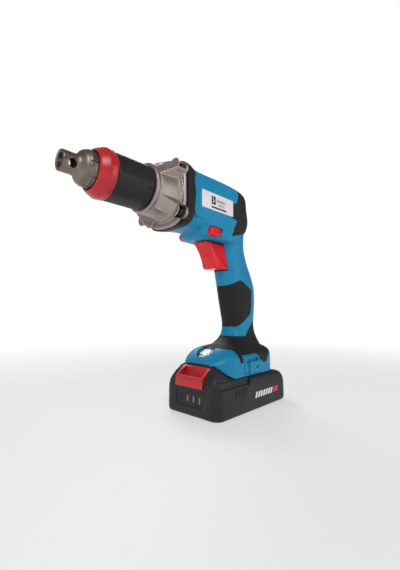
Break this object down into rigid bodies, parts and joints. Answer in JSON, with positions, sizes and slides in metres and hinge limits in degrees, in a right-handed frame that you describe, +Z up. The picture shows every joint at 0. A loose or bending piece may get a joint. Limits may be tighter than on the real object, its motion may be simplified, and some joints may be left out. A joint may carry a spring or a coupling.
{
  "type": "impact wrench",
  "caption": "Cordless impact wrench with a long nose, open cross-drilled drive end, pistol grip and slide-on battery pack.",
  "frame": {"origin": "centre of the battery pack's underside, where the tool stands", "axes": "+Z up, the nose and drive end point along -X, the label side faces -Y"},
  "size_m": [0.2667, 0.075, 0.2495],
  "materials": {
    "housing_blue": "satin moulded plastic",
    "overmould_black": "soft matt rubber overmould",
    "nose_black": "fine satin plastic",
    "ring_red": "satin moulded plastic",
    "gloss_red": "gloss moulded plastic",
    "cast_aluminium": "satin die casting",
    "nose_steel": "dark phosphated steel",
    "forged_steel": "hardened steel, blackened screws",
    "bright_steel": "ground bright steel",
    "winding_copper": "laminated steel with copper windings",
    "bronze": "sintered bronze and plated brass",
    "circuit_board": "green glass-filled board",
    "inner_black": "black glass-filled plastic",
    "label_white": "printed film label",
    "lamp_chrome": "metallised reflector",
    "lamp_emitter": "phosphor dome",
    "lamp_glass": "clear polycarbonate",
    "gauge_clear": "smoked light pipe",
    "pack_black": "fine matt moulded plastic",
    "cell_wrap": "shrink-wrapped steel can"
  },
  "bodies": {
    "tool": {"housing_left": "housing_blue", "housing_right": "housing_blue", "rear_cap": "overmould_black", "front_band": "overmould_black", "grip_panel": "overmould_black", "grip_skirt": "overmould_black", "housing_screw_1": "forged_steel", "housing_screw_2": "forged_steel", "housing_screw_3": "forged_steel", "housing_screw_4": "forged_steel", "gear_case": "cast_aluminium", "case_screw_1": "forged_steel", "case_screw_2": "forged_steel", "case_screw_3": "forged_steel", "case_screw_4": "forged_steel", "nose_sleeve": "nose_black", "nose_ring": "ring_red", "nose_bearing": "bright_steel", "anvil_bush": "bronze", "ring_gear": "forged_steel", "motor_plate": "cast_aluminium", "front_bearing": "bright_steel", "rear_bearing": "bright_steel", "stator": "winding_copper", "motor_board": "circuit_board", "switch_body": "inner_black", "trigger_spring": "bright_steel", "lamp_reflector": "lamp_chrome", "lamp_led": "lamp_emitter", "lamp_lens": "lamp_glass", "label_plate": "label_white", "terminal_block": "inner_black"},
    "output": {"output_shaft": "nose_steel", "anvil": "forged_steel"},
    "spindle": {"spindle": "forged_steel", "cam_ball_1": "bright_steel", "cam_ball_2": "bright_steel", "hammer_spring": "bright_steel"},
    "hammer": {"hammer": "forged_steel"},
    "planet_1": {"planet_1": "forged_steel"},
    "planet_2": {"planet_2": "forged_steel"},
    "planet_3": {"planet_3": "forged_steel"},
    "rotor": {"rotor": "forged_steel", "motor_pinion": "forged_steel", "fan": "nose_black"},
    "trigger": {"trigger": "gloss_red"},
    "direction_lever": {"direction_lever": "gloss_red"},
    "battery": {"battery_base": "pack_black", "battery_cover": "pack_black", "cell_1": "cell_wrap", "cell_2": "cell_wrap", "cell_3": "cell_wrap", "cell_4": "cell_wrap", "cell_5": "cell_wrap", "battery_board": "circuit_board", "battery_clips": "bronze", "gauge_lights": "gauge_clear", "release_spring": "bright_steel"},
    "release_button": {"release_button": "ring_red"},
    "gauge_button": {"gauge_button": "pack_black"}
  },
  "joints": [
    {"name": "spindle_spin", "type": "hinge", "parent": "tool", "child": "spindle", "pos_m": [-0.1, 0, 0.217], "axis": [1, 0, 0], "continuous": true},
    {"name": "output_spin", "type": "hinge", "parent": "tool", "child": "output", "pos_m": [-0.16, 0, 0.217], "axis": [1, 0, 0], "continuous": true},
    {"name": "rotor_spin", "type": "hinge", "parent": "tool", "child": "rotor", "pos_m": [-0.04, 0, 0.217], "axis": [1, 0, 0], "continuous": true},
    {"name": "hammer_slide", "type": "slide", "parent": "spindle", "child": "hammer", "axis": [1, 0, 0], "range_m": [0, 0.0078], "stiffness_N_per_m": 4000, "springref_m": -0.004, "deforming": ["hammer_spring"]},
    {"name": "planet_1_spin", "type": "hinge", "parent": "spindle", "child": "planet_1", "pos_m": [-0.073, 0.0108, 0.217], "axis": [1, 0, 0], "continuous": true},
    {"name": "planet_2_spin", "type": "hinge", "parent": "spindle", "child": "planet_2", "pos_m": [-0.073, -0.0054, 0.22635], "axis": [1, 0, 0], "continuous": true},
    {"name": "planet_3_spin", "type": "hinge", "parent": "spindle", "child": "planet_3", "pos_m": [-0.073, -0.0054, 0.20765], "axis": [1, 0, 0], "continuous": true},
    {"name": "trigger_pull", "type": "slide", "parent": "tool", "child": "trigger", "axis": [1, 0, 0], "range_m": [0, 0.006], "stiffness_N_per_m": 800, "springref_m": -0.003, "deforming": ["trigger_spring"]},
    {"name": "direction_slide", "type": "slide", "parent": "tool", "child": "direction_lever", "axis": [0, 1, 0], "range_m": [-0.003, 0.003]},
    {"name": "battery_slide", "type": "slide", "parent": "tool", "child": "battery", "axis": [-1, 0, 0], "range_m": [0, 0.075]},
    {"name": "release_press", "type": "slide", "parent": "battery", "child": "release_button", "axis": [0, 0, -1], "range_m": [0, 0.004], "stiffness_N_per_m": 600, "springref_m": -0.003, "deforming": ["release_spring"]},
    {"name": "gauge_press", "type": "slide", "parent": "battery", "child": "gauge_button", "axis": [1, 0, 0], "range_m": [0, 0.0006], "stiffness_N_per_m": 400, "springref_m": -0.0015}
  ],
  "couplings": [
    {"joint": "rotor_spin", "follows": "spindle_spin", "ratio": 5},
    {"joint": "output_spin", "follows": "spindle_spin", "ratio": 1},
    {"joint": "planet_1_spin", "follows": "spindle_spin", "ratio": -2.6667},
    {"joint": "planet_2_spin", "follows": "spindle_spin", "ratio": -2.6667},
    {"joint": "planet_3_spin", "follows": "spindle_spin", "ratio": -2.6667}
  ]
}
